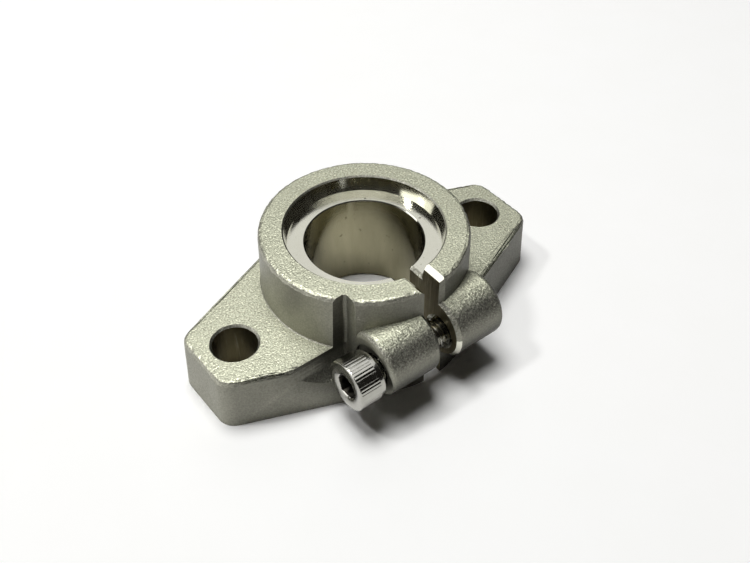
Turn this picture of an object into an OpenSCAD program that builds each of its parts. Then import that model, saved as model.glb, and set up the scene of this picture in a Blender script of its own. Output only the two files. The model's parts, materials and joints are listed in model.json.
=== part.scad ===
// Flanged shaft support with a split clamp, held shut by one socket head cap screw.
// The frame stands on its base: Z runs up the shaft bore, X along the flange, the slit faces -Y.

/* [Hub] */
// Diameter of the shaft that the bore takes
shaft_d = 16; // [14:0.1:17]
// Outer diameter of the hub at its top
hub_d = 28.1; // [26:0.1:30]
// Height of the hub above the base
hub_h = 16.5; // [14.5:0.1:22]
// How much the hub wall leans outwards between its top and the flange
hub_draft = 0.17; // [0:0.01:0.3]
// Radius of the cast edge round the top of the hub
hub_edge_r = 0.45; // [0.2:0.05:0.8]
// Diameter of the turned recess in the top of the hub
recess_d = 21.4; // [20:0.1:23]
// Depth of the turned recess
recess_depth = 2.2; // [1:0.1:3.2]
// Edge break at the mouth of the recess
mouth_break = 0.2; // [0.05:0.05:0.5]
// Edge break where the bore meets the recess floor
floor_break = 0.15; // [0.05:0.05:0.5]
// Edge break where the bore leaves the base
foot_break = 0.3; // [0.05:0.05:0.8]
// Radius of the cast fillet between hub and flange
foot_fillet = 0.35; // [0.2:0.05:0.8]

/* [Flange] */
// Distance from the middle of each mounting hole to the end of the flange at its top
hole_end = 5.15; // [4:0.05:7]
// Thickness of the flange
flange_t = 8; // [6:0.1:9.5]
// Straight part of each end face between its rounded corners
end_flat_w = 7.1; // [4:0.1:9]
// Radius of the four corners in plan
corner_r = 2.2; // [1:0.1:4]
// How far the flange stands out from the hub beside the lugs and behind
waist_step = 0.3; // [0.1:0.05:1]
// How much the flange wall leans outwards from its top to the base
flange_draft = 0.35; // [0.05:0.05:0.6]
// Radius of the cast edge round the top of the flange
flange_edge_r = 0.45; // [0.2:0.05:0.8]

/* [Mounting holes] */
// Distance between the two mounting holes
hole_pitch = 42; // [40:0.1:44]
// Diameter of each mounting hole
hole_d = 6; // [4.5:0.1:6.6]
// Edge break at both ends of each mounting hole
hole_break = 0.25; // [0.05:0.05:0.5]

/* [Clamp lugs] */
// Length across both lugs, slit included
lug_l = 18.9; // [17:0.1:22]
// Diameter of each lug
lug_d = 9.2; // [8.8:0.1:10.5]
// How far the lug axis lies inside the wall of the hub
lug_sink = 0.6; // [0.2:0.05:1.5]
// Height of the lug axis above the base
lug_z = 7.85; // [7:0.05:9]
// Radius of the cast edge at the outer end of each lug
lug_end_r = 0.9; // [0.5:0.05:1.2]
// Chamfer round the slit end of each lug
lug_rim_break = 0.5; // [0.1:0.05:0.8]
// Width of the nick in the rim of the screw head's lug
nick_d = 1; // [0.6:0.1:1.4]
// Depth of the nick
nick_depth = 0.7; // [0.3:0.05:0.8]
// How far round the lug the nick lies, from the front upwards
nick_angle = 52; // [30:1:70]

/* [Slit] */
// Width of the slit through hub, flange and lugs
slit_w = 2.8; // [2:0.1:3.2]
// Chamfer along both top edges of the slit
slit_top_break = 0.65; // [0.2:0.05:1]
// Chamfer along the edges of the slit in the recess floor
slit_floor_break = 0.45; // [0.1:0.05:0.8]
// Width of the chamfer down the outer edge of the slit, on the threaded half
slit_side_break = 0.65; // [0.2:0.05:1]

/* [Screw head channel] */
// Radius of the round bottom of the channel
channel_r = 4.1; // [4:0.05:4.6]
// How far the channel axis lies behind the lug axis
channel_set_back = 1; // [0.6:0.05:1.4]
// Fillet in the upright corner of the channel
channel_fillet = 0.5; // [0.2:0.05:0.8]

/* [Clamp screw] */
// Thread size of the screw
screw_d = 4; // [3:0.5:4.5]
// Length of the screw under its head
screw_l = 16; // [14:0.5:18]
// How far the screw axis lies in front of the lug axis
screw_forward = 0.65; // [0.3:0.05:0.8]
// How far the screw axis lies below the lug axis
screw_drop = 0.5; // [0.2:0.05:0.6]
// Diameter of the knurled head
head_d = 7; // [6.6:0.1:7.2]
// Height of the head
head_h = 3.9; // [3:0.1:4.2]
// Diameter of the plain band under the head
band_d = 6.6; // [6:0.1:6.6]
// Height of the plain band
band_h = 0.85; // [0.4:0.05:1.2]
// Rounding of the front edge of the head
head_edge_r = 0.35; // [0.1:0.05:0.5]
// Rounding of the bearing edge of the head
band_edge_r = 0.25; // [0.1:0.05:0.35]
// Number of ridges in the knurl
knurl_count = 44; // [30:1:60]
// Depth of the knurl
knurl_depth = 0.14; // [0.05:0.01:0.25]
// Width across the flats of the hexagon socket
socket_af = 3; // [2:0.1:3.5]
// Depth of the hexagon socket
socket_depth = 2; // [1.5:0.1:2.5]
// Edge break round the mouth and the bottom of the socket
socket_break = 0.12; // [0.05:0.01:0.2]
// Chamfer at the point of the screw
tip_break = 0.5; // [0.2:0.05:0.7]
// How far the screw is backed off from its seat
head_gap = 0.9; // [0.1:0.05:1.5]

/* [Screw fit] */
// Space round the screw in the plain lug
shank_clearance = 0.25; // [0.1:0.05:0.4]
// Space round the screw in the threaded lug
thread_clearance = 0.03; // [0.02:0.01:0.06]
// Diameter of the spot face under the head
seat_d = 7.3; // [7.2:0.05:7.5]
// Depth of the spot face
seat_depth = 0.45; // [0.2:0.05:0.8]
// Width of the countersink where the thread meets the slit
thread_sink = 0.5; // [0.1:0.05:0.7]

/* [Hidden] */
$fn = 96;

over = 1;                      // how far each cutter runs past the face it opens
cast_steel = [0.70, 0.69, 0.66];
bright_steel = [0.82, 0.82, 0.83];

flange_l = hole_pitch + 2 * hole_end;
hub_r = hub_d / 2;
recess_z = hub_h - recess_depth;
slit_x = slit_w / 2;

corner_x = flange_l / 2 - corner_r;
corner_y = end_flat_w / 2;
waist_r = hub_r + hub_draft + waist_step;
foot_bite = 0.04;              // how far the foot fillet runs into the wall and the flange
foot_stop = 0.1;               // how far it ends short of the flange's rounded edge
flat_top_r = waist_r - flange_edge_r - foot_stop;
corner_reach = norm([corner_x, corner_y]);
side_angle = asin((waist_r - corner_r) / corner_reach) - atan(corner_y / corner_x);
edge_steps = 8;

lug_r = lug_d / 2;
lug_x = lug_l / 2;
lug_y = hub_r - lug_sink;

channel_y = lug_y - channel_set_back;
channel_reach = flange_l / 2 + flange_draft - lug_x + over;

screw_y = lug_y + screw_forward;
screw_z = lug_z - screw_drop;
seat_x = -lug_x + seat_depth;
bearing_x = seat_x - head_gap;

// Points along an arc, for the small rounded edges in a turned profile
function arc_points(centre, r, from, to) =
    [for (i = [0:edge_steps])
        let (a = from + (to - from) * i / edge_steps)
        [centre[0] + r * cos(a), centre[1] + r * sin(a)]];

// Half section of a turned wall: it leans out by lean at its foot and is rounded at its top
function wall_points(r, height, lean, edge_r) = concat(
    [[0, 0], [r + lean, 0]],
    arc_points([r - edge_r, height - edge_r], edge_r, 0, 90),
    [[0, height]]);

// The flange: five turned walls, one at each corner and one round the hub, drawn together
module flange() {
    hull() {
        for (x = [-corner_x, corner_x], y = [-corner_y, corner_y])
            translate([x, y, 0])
                rotate_extrude($fn = 48)
                    polygon(wall_points(corner_r, flange_t, flange_draft, flange_edge_r));
        rotate_extrude($fn = 96)
            polygon(wall_points(waist_r, flange_t, flange_draft, flange_edge_r));
    }
}

// The fillet at the foot of the hub, kept to where the top of the flange reaches past the hub
module hub_foot() {
    centre = foot_fillet - foot_bite;
    intersection() {
        rotate_extrude()
            translate([hub_r + hub_draft, flange_t])
                polygon(concat([[-foot_fillet, -foot_fillet], [centre, -foot_fillet]],
                    arc_points([centre, centre], foot_fillet, 270, 180),
                    [[-foot_fillet, centre]]));
        for (side = [0, 1])
            mirror([side, 0, 0])
                linear_extrude(hub_h)
                    intersection_for(turn = [-side_angle, side_angle])
                        rotate(turn)
                            translate([0, -flat_top_r])
                                square([flange_l, 2 * flat_top_r]);
    }
}

// Chamfer down the outer edge of the slit on the threaded half of the hub
module slit_side_chamfer() {
    outer_x = slit_x + slit_side_break;
    outer_y = -sqrt(pow(hub_r, 2) - pow(outer_x, 2));
    inner_y = outer_y + slit_side_break / 2;
    slope = (outer_y - inner_y) / slit_side_break;
    translate([0, 0, flange_t])
        linear_extrude(hub_h)
            polygon([[0, inner_y - slope * slit_x], [outer_x + over, outer_y + slope * over],
                [outer_x + over, outer_y - over], [0, outer_y - over]]);
}

// The hub: its wall leans out down to the flange, and its top edge is rounded
module hub() {
    difference() {
        rotate_extrude()
            polygon(concat([[0, 0], [hub_r + hub_draft, 0], [hub_r + hub_draft, flange_t]],
                arc_points([hub_r - hub_edge_r, hub_h - hub_edge_r], hub_edge_r, 0, 90),
                [[0, hub_h]]));
        slit_side_chamfer();
    }
}

// One lug's half section, from the slit (0) to its outer end, for turning about the lug axis
module lug_section() {
    length = lug_x - slit_x;
    polygon(concat([[0, 0], [lug_r - lug_rim_break, 0], [lug_r, lug_rim_break]],
        arc_points([lug_r - lug_end_r, length - lug_end_r], lug_end_r, 0, 90),
        [[0, length]]));
}

module lugs() {
    for (side = [0, 1])
        mirror([side, 0, 0])
            translate([slit_x, -lug_y, lug_z])
                rotate([0, 90, 0])
                    rotate_extrude()
                        lug_section();
}

// Shaft bore and turned recess, with every edge broken
module shaft_bore() {
    bore_r = shaft_d / 2;
    recess_r = recess_d / 2;
    rotate_extrude()
        polygon([[0, -over], [bore_r + foot_break + over, -over], [bore_r, foot_break],
            [bore_r, recess_z - floor_break], [bore_r + floor_break, recess_z],
            [recess_r, recess_z], [recess_r, hub_h - mouth_break],
            [recess_r + mouth_break + over, hub_h + over], [0, hub_h + over]]);
}

module mounting_hole() {
    r = hole_d / 2;
    rotate_extrude()
        polygon([[0, -over], [r + hole_break + over, -over], [r, hole_break],
            [r, flange_t - hole_break], [r + hole_break + over, flange_t + over],
            [0, flange_t + over]]);
}

// A trough along the slit, reach long, whose sloping sides chamfer its edges at height z
module slit_trough(z, width, reach) {
    rotate([90, 0, 0])
        linear_extrude(reach)
            polygon([[-slit_x, z - width], [slit_x, z - width], [slit_x + width + over, z + over],
                [-slit_x - width - over, z + over]]);
}

module slit() {
    front = lug_y + lug_r + over;
    translate([-slit_x, -front, -over])
        cube([slit_w, front, hub_h + 2 * over]);
    slit_trough(hub_h, slit_top_break, front);
    slit_trough(recess_z, slit_floor_break, recess_d / 2 - mouth_break);
}

// Room for the screw head and its key: a round-bottomed channel, open upwards and outwards
module head_channel() {
    translate([-lug_x, -channel_y, lug_z]) {
        intersection() {
            rotate([0, -90, 0])
                cylinder(h = channel_reach, r = channel_r);
            translate([-channel_reach, -channel_r, -channel_r])
                cube([channel_reach, 2 * channel_r, channel_r]);
        }
        linear_extrude(hub_h)
            polygon(concat([[-channel_reach, -channel_r], [0, -channel_r]],
                arc_points([-channel_fillet, channel_r - channel_fillet], channel_fillet, 0, 90),
                [[-channel_reach, channel_r]]));
    }
}

// Everything drilled from the head's side: spot face, plain hole, countersink and threaded hole
module screw_way() {
    seat_r = seat_d / 2;
    plain_r = screw_d / 2 + shank_clearance;
    thread_r = screw_d / 2 + thread_clearance;
    sink_r = thread_r + thread_sink + slit_x;
    translate([0, -screw_y, screw_z])
        rotate([0, 90, 0])
            rotate_extrude()
                polygon([[0, -lug_x - over], [seat_r, -lug_x - over], [seat_r, seat_x],
                    [plain_r, seat_x], [plain_r, 0], [sink_r, 0],
                    [thread_r, slit_x + thread_sink], [thread_r, lug_x + over],
                    [0, lug_x + over]]);
}

// The nick in the slit rim of the lug that carries the screw head
module rim_nick() {
    translate([-slit_x - nick_d / 4, -lug_y, lug_z])
        rotate([90 - nick_angle, 0, 0])
            translate([0, 0, lug_r - nick_depth])
                cylinder(h = lug_r, d = nick_d, $fn = 24);
}

module support_body() {
    color(cast_steel)
        difference() {
            union() {
                flange();
                hub();
                hub_foot();
                lugs();
            }
            shaft_bore();
            for (x = [-hole_pitch / 2, hole_pitch / 2])
                translate([x, 0, 0])
                    mounting_hole();
            slit();
            head_channel();
            screw_way();
            rim_nick();
        }
}

// The head's outline across its axis: ridges that the head's own round then cuts flat
module knurl_outline() {
    crest_r = (head_d + knurl_depth) / 2;
    step = 360 / knurl_count;
    polygon([for (i = [0:2 * knurl_count - 1])
        let (r = crest_r - (i % 2) * 1.5 * knurl_depth, a = i * step / 2)
        [r * cos(a), r * sin(a)]]);
}

// The head stands with its front at 0, its bearing face at head_h and the shank beyond it
module turned_screw() {
    head_r = head_d / 2;
    band_r = band_d / 2;
    shank_r = screw_d / 2;
    grip_h = head_h - band_h;
    point_z = head_h + screw_l;
    intersection() {
        linear_extrude(grip_h)
            knurl_outline();
        rotate_extrude()
            polygon(concat([[0, 0]],
                arc_points([head_r - head_edge_r, head_edge_r], head_edge_r, 270, 360),
                [[head_r, grip_h + over], [0, grip_h + over]]));
    }
    rotate_extrude()
        polygon(concat([[0, grip_h - band_h], [band_r, grip_h - band_h]],
            arc_points([band_r - band_edge_r, head_h - band_edge_r], band_edge_r, 0, 90),
            [[shank_r, head_h], [shank_r, point_z - tip_break],
                [shank_r - tip_break, point_z], [0, point_z]]));
}

module screw_socket() {
    corner_r = socket_af / 2 / cos(30);
    mouth_r = corner_r + socket_break;
    drill_r = socket_af / 2 - socket_break;
    translate([0, 0, -over])
        cylinder(h = socket_depth + over, r = corner_r, $fn = 6);
    translate([0, 0, socket_depth - socket_break])
        cylinder(h = drill_r - socket_break, r1 = drill_r, r2 = socket_break);
    translate([0, 0, -over])
        cylinder(h = over + mouth_r, r1 = mouth_r + over, r2 = 0);
}

module clamp_screw() {
    color(bright_steel)
        translate([bearing_x - head_h, -screw_y, screw_z])
            rotate([0, 90, 0])
                difference() {
                    turned_screw();
                    rotate(90)
                        screw_socket();
                }
}

support_body();
clamp_screw();
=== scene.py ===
# %% [markdown]
# # A flanged shaft support with a clamp screw
# A shaft support holds a round shaft by its end. This one is a small investment casting
# in stainless steel: a diamond flange with two screw holes, a hub with a turned bore, and
# two lugs beside a slit. A cap screw pulls the lugs together, so the hub grips the shaft.
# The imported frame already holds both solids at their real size, in metres, so this
# lesson is about the finish: what the surfaces are, and how light shows it.

# %% Load the frame
import bmesh
import bpy
import json
import math
from mathutils import Matrix, Vector, noise


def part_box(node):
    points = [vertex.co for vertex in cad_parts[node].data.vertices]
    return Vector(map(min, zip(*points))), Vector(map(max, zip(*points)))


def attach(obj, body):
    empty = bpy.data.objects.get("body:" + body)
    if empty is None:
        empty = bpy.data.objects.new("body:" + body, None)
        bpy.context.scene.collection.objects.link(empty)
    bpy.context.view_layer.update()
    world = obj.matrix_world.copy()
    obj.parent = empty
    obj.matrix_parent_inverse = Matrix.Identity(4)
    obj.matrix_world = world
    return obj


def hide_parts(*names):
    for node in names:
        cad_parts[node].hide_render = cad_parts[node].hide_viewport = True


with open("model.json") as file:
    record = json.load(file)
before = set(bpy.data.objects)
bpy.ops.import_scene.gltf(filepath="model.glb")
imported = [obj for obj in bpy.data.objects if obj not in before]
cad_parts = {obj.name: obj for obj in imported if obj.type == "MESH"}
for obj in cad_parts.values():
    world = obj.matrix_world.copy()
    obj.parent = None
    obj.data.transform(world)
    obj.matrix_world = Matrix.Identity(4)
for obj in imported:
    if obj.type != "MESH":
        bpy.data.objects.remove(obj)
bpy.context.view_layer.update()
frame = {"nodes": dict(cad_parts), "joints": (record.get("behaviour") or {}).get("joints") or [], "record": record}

MM = 0.001
body_low, body_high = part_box("support_body")
screw_low, screw_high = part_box("clamp_screw")
print("casting", [round(v / MM, 2) for v in body_high - body_low], "mm")
print("screw", [round(v / MM, 2) for v in screw_high - screw_low], "mm")

# %% [markdown]
# ## Places that the frame gives
# The record holds the mounts: the bore, the recess above it and the two screw holes. The
# joint of the screw gives its axis. Reading them here keeps the finish on the metal even
# if the solids change: the patch of turned metal follows the bore's own radius.

# %% Read the mounts and the joint
mounts = {m["name"]: m for m in frame["record"]["mounts"]}
bore_r = mounts["shaft_bore"]["dims"]["r_mm"] * MM
recess_r = mounts["top_recess"]["dims"]["r_mm"] * MM
recess_z = mounts["top_recess"]["pos_m"][2] - mounts["top_recess"]["dims"]["length_mm"] / 2 * MM
hole_r = mounts["mounting_holes"]["dims"]["hole_r_mm"] * MM
hole_x = mounts["mounting_holes"]["dims"]["spacing_x_mm"] / 2 * MM
hub_top = body_high.z
screw_axis = Vector(frame["joints"][0]["pos_m"])
# The height of the screw's head, as the frame's screw has it
HEAD_H = 3.9 * MM
bearing_x = screw_low.x + HEAD_H
print("bore", bore_r, "recess", recess_r, recess_z, "screw axis", screw_axis)

# %% [markdown]
# ## Two helpers
# Colours are picked as sRGB hex values, the way a paint chart gives them, but Cycles works
# in linear light, so one function turns them. A second small function adds a node, sets
# its options and values and links it, which keeps each material short enough to read. Two
# sets of options come back often, so they have names: SMOOTH eases a range in and out, and
# COLOUR makes a Mix node mix colours.

# %% Colour and node helpers
SMOOTH = {"interpolation_type": "SMOOTHSTEP"}
COLOUR = {"data_type": "RGBA"}


def linear(hex_colour):
    """An sRGB hex colour such as "B4B2AA" as linear RGBA."""
    values = [int(hex_colour[i:i + 2], 16) / 255 for i in (0, 2, 4)]
    return [v / 12.92 if v <= 0.04045 else ((v + 0.055) / 1.055) ** 2.4 for v in values] + [1.0]


def add(tree, kind, settings=None, *in_order, **by_name):
    """Adds a node with its settings and links, and gives back its first live output.
    Values go to the sockets in order, or by name with _ for a space."""
    node = tree.nodes.new("ShaderNode" + kind)
    for name, value in (settings or {}).items():
        setattr(node, name, value)
    live = [socket for socket in node.inputs if socket.enabled]
    pairs = list(zip(live, in_order))
    for name, value in by_name.items():
        pairs.append((next(s for s in live if s.name == name.replace("_", " ")), value))
    for socket, value in pairs:
        if isinstance(value, bpy.types.NodeSocket):
            tree.links.new(value, socket)
        else:
            socket.default_value = value
    return next((s for s in node.outputs if s.enabled), node)


print("linear mid grey", [round(v, 3) for v in linear("808080")])

# %% [markdown]
# ## The casting's skin
# Investment casting copies a wax pattern through a ceramic shell, and the part is then
# blasted with grit. The skin is an even grain of tiny pits. It could be one flat grey with
# high roughness, but then it has no sparkle. Here the metal stays fairly glossy, and a
# bump of fine noise turns each grain its own way, as the real one does. On the rounds the
# peaks of the grain are also painted paler, a painted glint. The grain is strongest on the
# tops and on the rounds of the lugs, and the upright walls are darker and smoother; walls
# that face down are painted darker still, a painted shade. The metal beside the screw's
# head is painted darker as well: painted shade in the channel round the head.
#
# One step is not a property of the metal. The walls' tone falls from the -X side to the +X
# side, by about four to one. This is shade painted into the base colour, fitted to
# this room's light. It stays with the part when the light moves, so under other light the
# two sides look unlike. Light alone would be the better way to make it.

# %% Cast and blasted stainless steel
def start_material(name):
    material = bpy.data.materials.new(name)
    material.use_nodes = True
    material.node_tree.nodes.clear()
    return material, material.node_tree


# Stainless steel with a faint warm cast. Grit grain is taken as 0.15 mm; it is drawn
# 0.25 mm across, because the real one is too fine to show.
GRAIN, PITS, CLOUDS = 0.25 * MM, 0.6 * MM, 4.0 * MM
# The painted shade: how many times its tone a wall has where it faces -X and +X.
LEFT_TONE, RIGHT_TONE = 1.48, 0.36
# How far from the screw's axis the lugs reach, and the painted shade round the head begins and ends.
LUG_REACH, SHADE_NEAR, SHADE_FAR = 5.0 * MM, 4.2 * MM, 7.5 * MM
# The tones of the painted shade round the head and of the lugs' rounds, both fitted. The
# painted shade lies only beside the head, so it stops this far short of the face that the
# head bears on.
HEAD_SHADE_TONE, LUG_TONE, SHADE_END = 0.45, 0.8, 0.1 * MM


def cast_stainless():
    material, tree = start_material("cast_blasted_stainless_steel")
    at = add(tree, "TexCoord", None).node.outputs["Object"]
    facing = add(tree, "TexCoord", None).node.outputs["Normal"]
    up = add(tree, "SeparateXYZ", None, facing).node.outputs[2]
    grain = add(tree, "TexNoise", None, Vector=at, Scale=1 / GRAIN, Detail=3.0, Roughness=0.6)
    pits = add(tree, "TexNoise", None, Vector=at, Scale=1 / PITS, Detail=2.0, Roughness=0.5)
    clouds = add(tree, "TexNoise", None, Vector=at, Scale=1 / CLOUDS, Detail=3.0, Roughness=0.55)
    rounded = add(tree, "MapRange", SMOOTH, up, 0.15, 0.7, 0.0, 1.0)
    # How far a face counts as a top, which is drawn paler than the upright walls.
    blasted = add(tree, "MapRange", SMOOTH, up, 0.72, 0.99, 0.0, 1.0)
    # Walls are painted darker as they turn down, to 0.4 where they face straight down: painted shade under the
    # part. With the side tone it makes the walls' painted shade.
    underside_shade = add(tree, "MapRange", SMOOTH, up, -0.25, 0.3, 0.4, 1.0)
    upright = add(tree, "Mix", COLOUR, clouds, linear("838277"), linear("949388"))
    facing_x = add(tree, "SeparateXYZ", None, facing)
    side = add(tree, "MapRange", None, facing_x, -1.0, 0.9, LEFT_TONE, RIGHT_TONE)
    painted_wall_shade = add(tree, "Math", {"operation": "MULTIPLY"}, underside_shade, side)
    wall = add(tree, "VectorMath", {"operation": "SCALE"}, upright, Scale=painted_wall_shade)
    top = add(tree, "Mix", COLOUR, clouds, linear("A6A794"), linear("BABBA7"))
    from_axis = add(tree, "VectorMath", {"operation": "SUBTRACT"}, at, screw_axis)
    in_plane = add(tree, "VectorMath", {"operation": "MULTIPLY"}, from_axis, (0.0, 1.0, 1.0))
    reach = add(tree, "VectorMath", {"operation": "LENGTH"}, in_plane).node.outputs[1]
    on_lug = add(tree, "Math", {"operation": "LESS_THAN"}, reach, LUG_REACH)
    curved = add(tree, "Math", {"operation": "MULTIPLY"}, rounded, on_lug)
    skin = add(tree, "Mix", COLOUR, blasted, wall, top)
    dimmed = add(tree, "MapRange", None, curved, 0.0, 1.0, 1.0, LUG_TONE)
    base = add(tree, "VectorMath", {"operation": "SCALE"}, skin, Scale=dimmed)
    even_spread = add(tree, "MapRange", None, rounded, 0.0, 1.0, 0.12, 0.4)
    spread = add(tree, "Math", {"operation": "MULTIPLY_ADD"}, curved, 0.25, even_spread)
    swing = add(tree, "Math", {"operation": "MULTIPLY"},
                add(tree, "MapRange", None, grain, 0.3, 0.7, -1.0, 1.0), spread)
    # On the rounds the peaks of the grain are painted paler: a painted glint.
    painted_glint = add(tree, "MapRange", SMOOTH, grain, 0.56, 0.68, 0.0, 0.35)
    glint_lift = add(tree, "Math", {"operation": "MULTIPLY_ADD"}, painted_glint, rounded, 1.0)
    grain_and_glint = add(tree, "Math", {"operation": "ADD"}, swing, glint_lift)
    grained = add(tree, "VectorMath", {"operation": "SCALE"}, base, Scale=grain_and_glint)
    # Darker near the screw's axis beside the head: painted shade in the channel round the head.
    shade_by_head = add(tree, "MapRange", SMOOTH, reach, SHADE_NEAR, SHADE_FAR, HEAD_SHADE_TONE, 1.0)
    past_head = add(tree, "Math", {"operation": "GREATER_THAN"},
                    add(tree, "SeparateXYZ", None, at).node.outputs[0], bearing_x - SHADE_END)
    clear = add(tree, "Math", {"operation": "MAXIMUM"}, shade_by_head, past_head)
    shaded = add(tree, "VectorMath", {"operation": "SCALE"}, grained, Scale=clear)
    rough = add(tree, "MapRange", None, grain, 0.3, 0.7, 0.58, 0.42)
    height = add(tree, "Math", {"operation": "MULTIPLY_ADD"}, pits, 0.6, grain)
    even_depth = add(tree, "MapRange", None, rounded, 0.0, 1.0, 0.02 * MM, 0.08 * MM)
    depth = add(tree, "Math", {"operation": "MULTIPLY_ADD"}, curved, 0.05 * MM, even_depth)
    relief = add(tree, "Math", {"operation": "MULTIPLY"}, height, depth)
    bump = add(tree, "Bump", None, Height=relief, Strength=1.0, Distance=1.0)
    shader = add(tree, "BsdfPrincipled", None, Base_Color=shaded, Metallic=1.0,
                 Roughness=rough, Normal=bump)
    add(tree, "OutputMaterial", None, Surface=shader)
    print(material.name, len(tree.nodes), "nodes")
    return material


cast_metal = cast_stainless()

# %% [markdown]
# ## Turned metal
# The bore and the recess were cut on a lathe after casting. The tool leaves a fine groove
# that winds round the axis, so a lamp shows as a streak across the grooves: out from the
# centre on a flat floor and straight up on a wall. An anisotropic shader does that, once
# it is told the way across the grooves, which is the cross product of the surface's
# normal and the way round the axis.

# %% Turned stainless steel of the bore and the recess
# Finely turned, so the gloss is soft along a groove and wide across it. Feed marks are
# 0.1 mm apart. The bore's wall is painted darker and browner than the recess, a painted
# shade deep in the bore, and it has a few stains.
FEED, STREAKS, STAINS = 0.1 * MM, 1.8 * MM, 0.8 * MM


def turned_stainless():
    material, tree = start_material("turned_stainless_steel")
    at = add(tree, "TexCoord", None).node.outputs["Object"]
    facing = add(tree, "TexCoord", None).node.outputs["Normal"]
    spot = add(tree, "SeparateXYZ", None, at).node.outputs
    back = add(tree, "Math", {"operation": "MULTIPLY"}, spot[1], -1.0)
    groove = add(tree, "CombineXYZ", None, back, spot[0], 0.0)
    across = add(tree, "VectorMath", {"operation": "CROSS_PRODUCT"}, facing, groove)
    radius = add(tree, "VectorMath", {"operation": "LENGTH"}, groove).node.outputs[1]
    along = add(tree, "Math", {"operation": "ADD"}, radius, spot[2])
    feed = add(tree, "CombineXYZ", None, along, 0.0, 0.0)
    marks = add(tree, "TexNoise", None, Vector=feed, Scale=1 / FEED, Detail=2.0, Roughness=0.7)
    drawn = add(tree, "VectorMath", {"operation": "MULTIPLY"}, at, (1.0, 1.0, 0.25))
    streaks = add(tree, "TexNoise", None, Vector=drawn, Scale=1 / STREAKS, Detail=3.0,
                  Roughness=0.6)
    specks = add(tree, "TexNoise", None, Vector=at, Scale=1 / STAINS, Detail=1.0, Roughness=0.5)
    stain = add(tree, "MapRange", SMOOTH, specks, 0.69, 0.78, 0.0, 0.5)
    bright = add(tree, "Mix", COLOUR, streaks, linear("CFCEBF"), linear("DEDDD0"))
    # The bore's wall gets a darker, browner colour: painted shade deep in the bore.
    bore_shade_colour = add(tree, "Mix", COLOUR, streaks, linear("746F58"), linear("96927A"))
    up = add(tree, "SeparateXYZ", None, facing).node.outputs[2]
    open_face = add(tree, "MapRange", None, up, 0.3, 0.7, 0.0, 1.0)
    outside = add(tree, "Math", {"operation": "GREATER_THAN"}, radius, bore_r + 0.2 * MM)
    beyond_bore_shade = add(tree, "Math", {"operation": "MAXIMUM"}, open_face, outside)
    clean = add(tree, "Mix", COLOUR, beyond_bore_shade, bore_shade_colour, bright)
    base = add(tree, "Mix", COLOUR, stain, clean, linear("3F3B2C"))
    rough = add(tree, "MapRange", None, streaks, 0.3, 0.7, 0.1, 0.16)
    relief = add(tree, "Math", {"operation": "MULTIPLY"}, marks, 0.006 * MM)
    bump = add(tree, "Bump", None, Height=relief, Strength=1.0, Distance=1.0)
    shader = add(tree, "BsdfPrincipled", None, Base_Color=base, Metallic=1.0, Roughness=rough,
                 Anisotropic=0.7, Normal=bump, Tangent=across)
    add(tree, "OutputMaterial", None, Surface=shader)
    print(material.name, len(tree.nodes), "nodes")
    return material


turned_metal = turned_stainless()

# %% [markdown]
# ## Sawn metal
# The slit that lets the hub close is sawn, and the saw's teeth score both faces from top
# to bottom. The faces are drawn dark and brown, with paler streaks along the scores. The
# scores are drawn by noise that is squeezed one way: it changes quickly across the cut and
# hardly at all along it.

# %% Sawn stainless steel of the slit
# Dull, dark and brown. The scores are drawn 0.35 mm across, coarser than a
# saw's, so that they show. The mounting holes share this finish and are painted darker,
# a painted shade inside them: the tone falls to 0.62 between 5 and 10 mm from the bore's
# axis along the flange.
SCORES, BLOTCH_SIZE = 0.35 * MM, 2.5 * MM
HOLE_TONE, HOLES_FROM, HOLES_FULL = 0.62, 5.0 * MM, 10.0 * MM


def sawn_stainless():
    material, tree = start_material("sawn_stainless_steel")
    at = add(tree, "TexCoord", None).node.outputs["Object"]
    squeezed = add(tree, "VectorMath", {"operation": "MULTIPLY"}, at, (1.0, 1.0, 0.06))
    scores = add(tree, "TexNoise", None, Vector=squeezed, Scale=1 / SCORES, Detail=2.0,
                 Roughness=0.6)
    blotches = add(tree, "TexNoise", None, Vector=at, Scale=1 / BLOTCH_SIZE, Detail=2.0, Roughness=0.5)
    brown_ground = add(tree, "Mix", COLOUR, blotches, linear("5A5237"), linear("787053"))
    bare = add(tree, "MapRange", SMOOTH, scores, 0.55, 0.7, 0.0, 0.5)
    scored = add(tree, "Mix", COLOUR, bare, brown_ground, linear("9A947C"))
    at_x = add(tree, "SeparateXYZ", None, at).node.outputs[0]
    aside = add(tree, "Math", {"operation": "ABSOLUTE"}, at_x)
    # The mounting holes are painted darker: painted shade inside them.
    holes = add(tree, "MapRange", None, aside, HOLES_FROM, HOLES_FULL, 1.0, HOLE_TONE)
    base = add(tree, "VectorMath", {"operation": "SCALE"}, scored, Scale=holes)
    relief = add(tree, "Math", {"operation": "MULTIPLY"}, scores, 0.05 * MM)
    bump = add(tree, "Bump", None, Height=relief, Strength=1.0, Distance=1.0)
    shader = add(tree, "BsdfPrincipled", None, Base_Color=base, Metallic=1.0,
                 Roughness=0.42, Normal=bump)
    add(tree, "OutputMaterial", None, Surface=shader)
    print(material.name, len(tree.nodes), "nodes")
    return material


sawn_metal = sawn_stainless()

# %% [markdown]
# ## Merging a copy
# The frame's casting has the right shape, but its triangles are loose, so each would be
# shaded on its own. A copy with its doubles merged lets the shading run smoothly over
# round faces. The copy also drops the normals that came with the file, which belong to
# the loose triangles, and a Weighted Normal modifier keeps the flat faces flat.

# %% Merge a copy, and make a piece of it
DOUBLE, SLIVER = 0.0005 * MM, 0.004 * MM
# The angle in degrees past which each piece keeps an edge sharp
SHARP_CAST, SHARP_HEAD, SHARP_THREAD = 32, 50, 30


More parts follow.
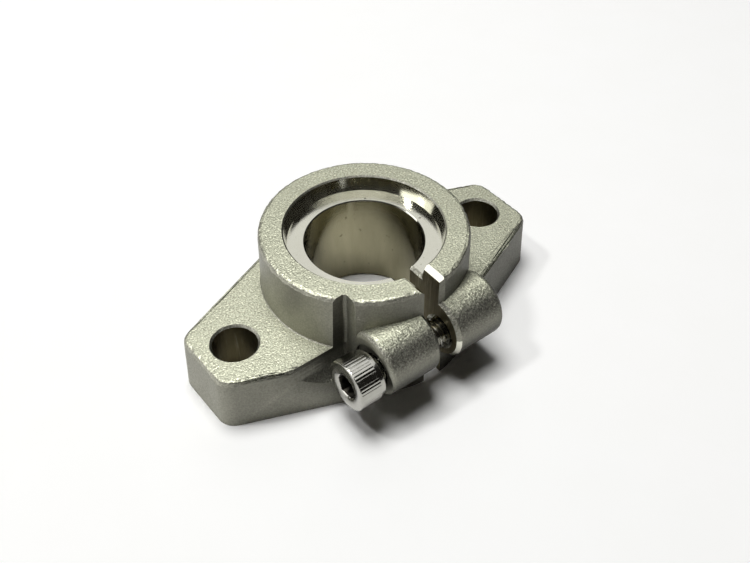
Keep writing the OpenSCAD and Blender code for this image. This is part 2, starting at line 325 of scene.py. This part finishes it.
def merged_copy(node):
    """A bmesh of a frame solid with its doubles merged and its slivers gone."""
    made = bmesh.new()
    made.from_mesh(frame["nodes"][node].data)
    bmesh.ops.remove_doubles(made, verts=made.verts, dist=DOUBLE)
    bmesh.ops.dissolve_degenerate(made, edges=made.edges, dist=SLIVER)
    for face in made.faces:
        face.material_index = 0
    print(node, len(made.faces), "faces after merging")
    return made


def make_piece(made, name, finishes, sharp_deg, creases=()):
    """Turns a bmesh into a piece: smooth, but for edges past sharp_deg and the creases."""
    sharp = math.radians(sharp_deg)
    for edge in made.edges:
        edge.smooth = edge.calc_face_angle(math.pi) < sharp and edge not in creases
    mesh = bpy.data.meshes.new(name)
    made.to_mesh(mesh)
    made.free()
    for old_normals in [a for a in mesh.attributes if a.name == "custom_normal"]:
        mesh.attributes.remove(old_normals)
    for finish in finishes:
        mesh.materials.append(finish)
    mesh.polygons.foreach_set("use_smooth", [True] * len(mesh.polygons))
    piece = bpy.data.objects.new(name, mesh)
    bpy.context.scene.collection.objects.link(piece)
    keeper = piece.modifiers.new("flat_faces_stay_flat", "WEIGHTED_NORMAL")
    keeper.keep_sharp = True
    print(name, len(mesh.polygons), "faces")
    return piece


# %% [markdown]
# ## The casting's rims
# The blast wears the outer rims uneven: under a lens the round between top and wall is
# ragged. A bump could shade that but the line against the dark wall would stay straight,
# so the rims get real relief. Their long edges are split until they are short, and then
# every point on a rim moves a little, by noise that is the same in each run. A point that
# borders a top only slides within it, and one that borders a wall only slides up or down
# it, so the flat faces stay flat.

# %% Find the tops
casting_mesh = merged_copy("support_body")
flat_area = {}
for face in casting_mesh.faces:
    if face.normal.z > 0.9999:
        level = round(face.calc_center_median().z / MM, 2)
        flat_area[level] = flat_area.get(level, 0) + face.calc_area()
flange_top = max(flat_area, key=flat_area.get) * MM
print("flange top at", round(flange_top / MM, 2), "mm, hub top at", round(hub_top / MM, 2), "mm")

# %% Wear the rims
RIM_H, EDGE_L, RAG_SIZE = 0.46 * MM, 0.4 * MM, 0.55 * MM
# How far from the middle of the slit its faces and broken edges reach, and how far past
# the recess its turned rim does: both are machined edges, so the wear leaves them out
SLIT_REACH, TURNED_RIM = 2.2 * MM, 0.5 * MM
# The upward part of a normal, below which a face is a wall and above which it is a top
WALL_TILT, TOP_TILT = 0.07, 0.9995
# How far a point slides in a top or along a wall, and how far one on the round moves
TOP_SLIDE, WALL_SLIDE, ROUND_MOVE = 0.16 * MM, 0.26 * MM, 0.09 * MM
# Taken off the noise, so that wear mostly goes inwards
EDGE_WEAR, ROUND_WEAR = 0.6, 0.7
# A drilled hole's rim is this wide, and it is less ragged than a cast one
HOLE_RIM, HOLE_RAG = 0.6 * MM, 0.35


def rim_faces(made):
    """The faces of the rounds between a top and the walls below it."""
    found = []
    for face in made.faces:
        centre = face.calc_center_median()
        by_slit = abs(centre.x) < SLIT_REACH and centre.y < 0
        turned = math.hypot(centre.x, centre.y) < recess_r + TURNED_RIM
        near_top = any(top - RIM_H < centre.z < top for top in (flange_top, hub_top))
        sloping = WALL_TILT < face.normal.z < TOP_TILT
        if near_top and sloping and not by_slit and not turned:
            found.append(face)
    return found


long_edges = [0]
while long_edges:
    rim_edges = {edge for face in rim_faces(casting_mesh) for edge in face.edges}
    long_edges = [edge for edge in rim_edges if edge.calc_length() > EDGE_L]
    bmesh.ops.subdivide_edges(casting_mesh, edges=long_edges, cuts=1)
bmesh.ops.triangulate(casting_mesh, faces=[f for f in casting_mesh.faces if len(f.verts) > 4])
casting_mesh.normal_update()
rim = set(rim_faces(casting_mesh))
rim_borders = {edge for face in rim for edge in face.edges if not rim.issuperset(edge.link_faces)}
moves = []
for vert in {vert for face in rim for vert in face.verts}:
    rag = noise.noise(vert.co / RAG_SIZE)
    if math.hypot(abs(vert.co.x) - hole_x, vert.co.y) < hole_r + HOLE_RIM:
        rag = EDGE_WEAR + (rag - EDGE_WEAR) * HOLE_RAG
    outward = Vector((vert.normal.x, vert.normal.y, 0)).normalized()
    on_top = any(face.normal.z > TOP_TILT for face in vert.link_faces)
    walls = [face.normal for face in vert.link_faces if face.normal.z < WALL_TILT]
    on_wall = len(walls) > 0
    if on_top and not on_wall:
        moves.append((vert, outward * (rag - EDGE_WEAR) * TOP_SLIDE))
    elif on_wall and not on_top:
        wall = sum(walls, Vector()).normalized()
        uphill = (Vector((0, 0, 1)) - wall * wall.z).normalized()
        moves.append((vert, uphill * (rag - EDGE_WEAR) * WALL_SLIDE))
    elif not on_top and not on_wall:
        moves.append((vert, vert.normal * (rag - ROUND_WEAR) * ROUND_MOVE))
for vert, move in moves:
    vert.co += move
print("points moved on the rims:", len(moves))

# %% [markdown]
# ## The draft of the recess
# The wall of the recess is drawn leaning: its foot is a little nearer the axis than its
# rim. The frame has it upright, because a mount states one straight radius, and how far it
# really leans is an estimate. It matters for the look, since bright metal that leans
# mirrors another part of the room than metal that stands. Moving the points at the foot
# inwards is enough, and the floor keeps its level.

# %% Lean the wall of the recess
LEAN, NEAR = 0.38 * MM, 0.02 * MM
foot = [v for v in casting_mesh.verts
        if abs(math.hypot(v.co.x, v.co.y) - recess_r) < NEAR
        and abs(v.co.z - recess_z) < NEAR]
for vert in foot:
    vert.co.x *= 1 - LEAN / recess_r
    vert.co.y *= 1 - LEAN / recess_r
print("points at the foot of the wall:", len(foot))

# %% [markdown]
# ## The casting's finishes
# Each face takes the finish of the tool that last touched it: the lathe in the bore and
# the recess, the saw in the slit, the mill on the breaks of the slit's edges, and the
# blast everywhere else. The faces are told apart by where they are and which way they
# face, so no list of face numbers is needed.

# %% Give each face of the casting its finish
CAST, TURNED, SAWN = 0, 1, 2
# How far a face may lie off a radius or a level and still belong to it
WALL_SLACK, LEVEL_SLACK, HOLE_SLACK = 0.03 * MM, 0.1 * MM, 0.05 * MM
# The bore's broken edges reach this far out, and none of its faces lies well inside it
BORE_RIM, BORE_CORE = 0.4 * MM, 0.9
# The sideways part of a normal: a sawn face has more than SAWN_TILT, and a broken edge
# at 45 degrees lies between the other two
SAWN_TILT, BREAK_LOW, BREAK_HIGH = 0.9, 0.6, 0.8
# The upward part of the normals of the bright strip low on the lug's broken edge
STRIP_LOW, STRIP_HIGH = -0.6, 0.12
UPRIGHT = 0.1
casting_mesh.normal_update()
for face in casting_mesh.faces:
    centre, normal = face.calc_center_median(), face.normal
    radius = math.hypot(centre.x, centre.y)
    inward = normal.x * centre.x + normal.y * centre.y < 0
    in_recess = radius < recess_r + WALL_SLACK and centre.z > recess_z - LEVEL_SLACK
    in_bore = radius < bore_r + BORE_RIM and inward
    by_slit = centre.y < 0 and abs(centre.x) < SLIT_REACH
    hole_reach = math.hypot(abs(centre.x) - hole_x, centre.y)
    edge_break = by_slit and BREAK_LOW < abs(normal.x) < BREAK_HIGH
    at_hub_top = centre.z > recess_z + LEVEL_SLACK
    on_strip = normal.x < 0 and STRIP_LOW < normal.z < STRIP_HIGH
    if (in_recess or in_bore) and radius > BORE_CORE * bore_r:
        face.material_index = TURNED
    elif by_slit and abs(normal.x) > SAWN_TILT:
        face.material_index = SAWN
    elif edge_break and (at_hub_top or on_strip):
        face.material_index = TURNED
    elif hole_reach < hole_r + HOLE_SLACK and abs(normal.z) < UPRIGHT:
        face.material_index = SAWN
given = [face.material_index for face in casting_mesh.faces]
print("faces by finish", [given.count(finish) for finish in (CAST, TURNED, SAWN)])
casting = make_piece(casting_mesh, "casting_skin", (cast_metal, turned_metal, sawn_metal),
                     SHARP_CAST, rim_borders)
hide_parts("support_body")
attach(casting, "block")

# %% [markdown]
# ## The screw's finish
# The cap screw is cold headed from stainless wire and tumbled bright. Its skin is nearly a
# mirror, so it shows the room: pale above and below, dark round the horizon.

# %% Bright and dark stainless steel of the screw
SMEARS, SOCKET_BLOTCH = 0.6 * MM, 0.5 * MM


def bright_stainless():
    material, tree = start_material("tumbled_bright_stainless_steel")
    at = add(tree, "TexCoord", None).node.outputs["Object"]
    smears = add(tree, "TexNoise", None, Vector=at, Scale=1 / SMEARS, Detail=3.0, Roughness=0.6)
    base = add(tree, "Mix", COLOUR, smears, linear("A09F98"), linear("BAB9B1"))
    rough = add(tree, "MapRange", None, smears, 0.3, 0.7, 0.1, 0.2)
    shader = add(tree, "BsdfPrincipled", None, Base_Color=base, Metallic=1.0, Roughness=rough)
    add(tree, "OutputMaterial", None, Surface=shader)
    print(material.name, len(tree.nodes), "nodes")
    return material


# The socket is punched. Its inside is painted near black: painted shade in the deep hole.
def punched_stainless():
    material, tree = start_material("punched_socket_shade_steel")
    at = add(tree, "TexCoord", None).node.outputs["Object"]
    socket_blotches = add(tree, "TexNoise", None, Vector=at, Scale=1 / SOCKET_BLOTCH, Detail=2.0, Roughness=0.5)
    base = add(tree, "Mix", COLOUR, socket_blotches, linear("1C1A16"), linear("3A3832"))
    shader = add(tree, "BsdfPrincipled", None, Base_Color=base, Metallic=1.0, Roughness=0.4)
    add(tree, "OutputMaterial", None, Surface=shader)
    print(material.name, len(tree.nodes), "nodes")
    return material


bright_metal = bright_stainless()
punched_metal = punched_stainless()

# %% [markdown]
# ## The head of the screw
# The frame's screw has the knurled head, its band and its hex socket, with a plain shank.
# The head is kept and the shank is cut away just behind the face that bears on the lug,
# so a real thread can take its place. The knurl is drawn shallower than the frame has it:
# each point is taken most of the way out to the head's own radius, so the ridges look
# soft. The crests keep their place.

# %% The head of the screw
SOCKET_R = 1.76 * MM
HEAD_R, KNURL_ROOT, KNURL_EASE = 3.5 * MM, 3.33 * MM, 0.74
# How much of the shank stays behind the head, and the room at both ends of the socket
STUB, SOCKET_LIP, SOCKET_END = 0.02 * MM, 0.15 * MM, 0.1 * MM
head_mesh = merged_copy("clamp_screw")
whole_head = head_mesh.verts[:] + head_mesh.edges[:] + head_mesh.faces[:]
bmesh.ops.bisect_plane(head_mesh, geom=whole_head, plane_co=(bearing_x + STUB, 0, 0),
                       plane_no=(1, 0, 0), clear_outer=True)
bmesh.ops.holes_fill(head_mesh, edges=[e for e in head_mesh.edges if e.is_boundary])
for vert in head_mesh.verts:
    arm = Vector((0, vert.co.y - screw_axis.y, vert.co.z - screw_axis.z))
    if arm.length > KNURL_ROOT:
        vert.co += arm.normalized() * (HEAD_R - arm.length) * KNURL_EASE
for face in head_mesh.faces:
    centre = face.calc_center_median()
    from_axis = math.hypot(centre.y - screw_axis.y, centre.z - screw_axis.z)
    if from_axis < SOCKET_R and screw_low.x + SOCKET_LIP < centre.x < bearing_x - SOCKET_END:
        face.material_index = 1
screw_head = make_piece(head_mesh, "screw_head", (bright_metal, punched_metal), SHARP_HEAD)

# %% [markdown]
# ## The thread
# An M4 thread is one V groove that climbs 0.7 mm in each turn. A line with the shape of
# one ridge is swept round the axis and along it at once, which is what a spin with a step
# along its axis does, and turns that meet are merged. Two cuts give it its ends, and the
# tip is drawn in to a lead.

# %% The thread, one turn of profile swept down the shank
THREAD_PITCH, CREST_R = 0.7 * MM, 2.0 * MM
# The depth and the flats of a metric thread, as shares of its pitch
ROOT_R = CREST_R - 0.6134 * THREAD_PITCH
ROOT_FLAT, CREST_FLAT = 1 / 4, 1 / 8
FLANK = (1 - ROOT_FLAT - CREST_FLAT) / 2
TIP_R, TURN_STEPS = ROOT_R - 0.1 * MM, 48
shank_l = screw_high.x - bearing_x
turns = math.ceil(shank_l / THREAD_PITCH) + 2
profile = [(ROOT_R, 0.0), (ROOT_R, ROOT_FLAT), (CREST_R, ROOT_FLAT + FLANK),
           (CREST_R, 1 - FLANK), (ROOT_R, 1.0)]
thread_mesh = bmesh.new()
line = [thread_mesh.verts.new((r, 0.0, z * THREAD_PITCH)) for r, z in profile]
for a, b in zip(line, line[1:]):
    thread_mesh.edges.new((a, b))
bmesh.ops.spin(thread_mesh, geom=thread_mesh.verts[:] + thread_mesh.edges[:],
               cent=(0, 0, 0), axis=(0, 0, 1), dvec=(0, 0, THREAD_PITCH / TURN_STEPS),
               angle=2 * math.pi * turns, steps=TURN_STEPS * turns, use_merge=False)
bmesh.ops.remove_doubles(thread_mesh, verts=thread_mesh.verts, dist=0.001 * MM)
for cut, way in ((THREAD_PITCH, -1), (THREAD_PITCH + shank_l, 1)):
    whole_thread = thread_mesh.verts[:] + thread_mesh.edges[:] + thread_mesh.faces[:]
    bmesh.ops.bisect_plane(thread_mesh, geom=whole_thread, plane_co=(0, 0, cut),
                           plane_no=(0, 0, way), clear_outer=True)
for vert in thread_mesh.verts:
    vert.co.z -= THREAD_PITCH
    reach = math.hypot(vert.co.x, vert.co.y)
    allowed = min(CREST_R, TIP_R + (shank_l - vert.co.z))
    if reach > allowed:
        vert.co.x *= allowed / reach
        vert.co.y *= allowed / reach
bmesh.ops.holes_fill(thread_mesh, edges=[e for e in thread_mesh.edges if e.is_boundary])
bmesh.ops.dissolve_degenerate(thread_mesh, edges=thread_mesh.edges, dist=SLIVER)
bmesh.ops.recalc_face_normals(thread_mesh, faces=thread_mesh.faces)
behind_head = Matrix.Translation((bearing_x, screw_axis.y, screw_axis.z))
to_place = behind_head @ Matrix.Rotation(math.pi / 2, 4, "Y")
bmesh.ops.transform(thread_mesh, matrix=to_place, verts=thread_mesh.verts)
screw_thread = make_piece(thread_mesh, "screw_thread", (bright_metal,), SHARP_THREAD)
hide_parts("clamp_screw")
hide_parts("clamp_screw")
for piece in (screw_head, screw_thread):
    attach(piece, "screw")

# %% [markdown]
# ## The floor
# White card, 3 m across. It fills the picture from above. From low down its far edge
# shows, with the dark room behind it. It is matt, so it holds the part's soft shadow and
# throws pale light back up under the flange.

# %% Floor
FIBRES = 8.0 * MM


def white_card():
    material, tree = start_material("matt_white_card")
    at = add(tree, "TexCoord", None).node.outputs["Object"]
    fibres = add(tree, "TexNoise", None, Vector=at, Scale=1 / FIBRES, Detail=2.0, Roughness=0.5)
    base = add(tree, "Mix", COLOUR, fibres, linear("FDFDFB"), linear("FFFFFE"))
    shader = add(tree, "BsdfPrincipled", None, Base_Color=base, Roughness=0.95)
    shader.node.inputs["Specular IOR Level"].default_value = 0.0
    add(tree, "OutputMaterial", None, Surface=shader)
    print(material.name, len(tree.nodes), "nodes")
    return material


floor_mesh = bpy.data.meshes.new("floor")
made = bmesh.new()
bmesh.ops.create_grid(made, x_segments=1, y_segments=1, size=1.5)
made.to_mesh(floor_mesh)
made.free()
floor = bpy.data.objects.new("floor", floor_mesh)
bpy.context.scene.collection.objects.link(floor)
floor.data.materials.append(white_card())
print("floor", [round(v, 2) for v in floor.dimensions], "m")

# %% [markdown]
# ## The lights
# Bare metal shows the room more than its own colour, so the lights are placed for what
# each surface mirrors. A soft disk overhead lights the tops and makes the shadow. A small
# lamp gives the one hard glint in the recess, and a dim disk behind is what the flat tops
# and the recess floor mirror. Three white cards, a ceiling, a window and a pale wall, are
# only seen in reflections. Switching off their diffuse light keeps the floor's shadow
# clean, and is a thing that no real studio can do. Between them the room stays dark, which
# gives the polished screw its dark band.

# %% Lamps
def area_light(name, direction, distance, size, power):
    """A round lamp in a direction from the origin, facing it; metres and watts."""
    lamp = bpy.data.lights.new(name, "AREA")
    lamp.shape, lamp.size, lamp.energy = "DISK", size, power
    holder = bpy.data.objects.new(name, lamp)
    bpy.context.scene.collection.objects.link(holder)
    way = Vector(direction).normalized()
    holder.location = way * distance
    holder.rotation_mode = "QUATERNION"
    holder.rotation_quaternion = way.to_track_quat("Z", "Y")
    print(name, "shines", round(power / (math.pi ** 2 * size ** 2 / 4), 1), "W per m2 per sr")
    return holder


area_light("overhead_softbox", (-0.03, 0.16, 0.98), 0.6, 0.30, 2.95)
area_light("key_lamp", (-0.42, 0.29, 0.86), 0.6, 0.06, 0.65)
area_light("back_right_fill", (0.42, 0.57, 0.70), 0.7, 0.40, 0.36)

# %% Cards that only reflections see
cards = [area_light("window_card", (-0.66, 0.58, 0.44), 0.7, 0.32, 0.5),
         area_light("left_card", (-0.92, 0.30, 0.26), 0.7, 0.5, 1.6),
         area_light("ceiling_card", (0.0, -0.04, 1.0), 0.7, 0.8, 1.9)]
for card in cards:
    card.visible_diffuse = False
print("cards:", len(cards))

# %% The air of the room
ROOM_GLOW = 0.02
world = bpy.data.worlds.new("studio_air")
bpy.context.scene.world = world
world.use_nodes = True
world.node_tree.nodes.clear()
background = add(world.node_tree, "Background", None, Color=linear("F2EADC"), Strength=ROOM_GLOW)
add(world.node_tree, "OutputWorld", None, Surface=background)
print("world strength", ROOM_GLOW)

# %% [markdown]
# ## The camera
# The camera stands in front and to the left, 44 degrees up, about 130 mm away: close
# enough that near edges look larger. It is placed by its target, two angles and a
# distance, as on a tripod, so each value can be changed alone.

# %% Camera
def studio_camera(target, azimuth, elevation, roll, distance, lens):
    """Azimuth 0 looks along +Y; elevation is above the floor; roll turns the picture."""
    lens_data = bpy.data.cameras.new("studio_camera")
    lens_data.lens = lens
    lens_data.clip_start, lens_data.clip_end = 0.01, 10.0
    holder = bpy.data.objects.new("studio_camera", lens_data)
    bpy.context.scene.collection.objects.link(holder)
    a, e = math.radians(azimuth), math.radians(elevation)
    back = Vector((math.sin(a) * math.cos(e), -math.cos(a) * math.cos(e), math.sin(e)))
    turn = back.to_track_quat("Z", "Y").to_matrix() @ Matrix.Rotation(math.radians(roll), 3, "Z")
    holder.matrix_world = Matrix.Translation(Vector(target) + back * distance) @ turn.to_4x4()
    bpy.context.scene.camera = holder
    print("camera at", [round(v / MM, 1) for v in holder.matrix_world.translation], "mm")
    return holder


AIM = (0.03 * MM, -2.30 * MM, 8.13 * MM)
studio_camera(AIM, azimuth=-38.24, elevation=44.47, roll=0.26, distance=131.5 * MM, lens=46.29)
bpy.context.scene.view_settings.view_transform = "Standard"
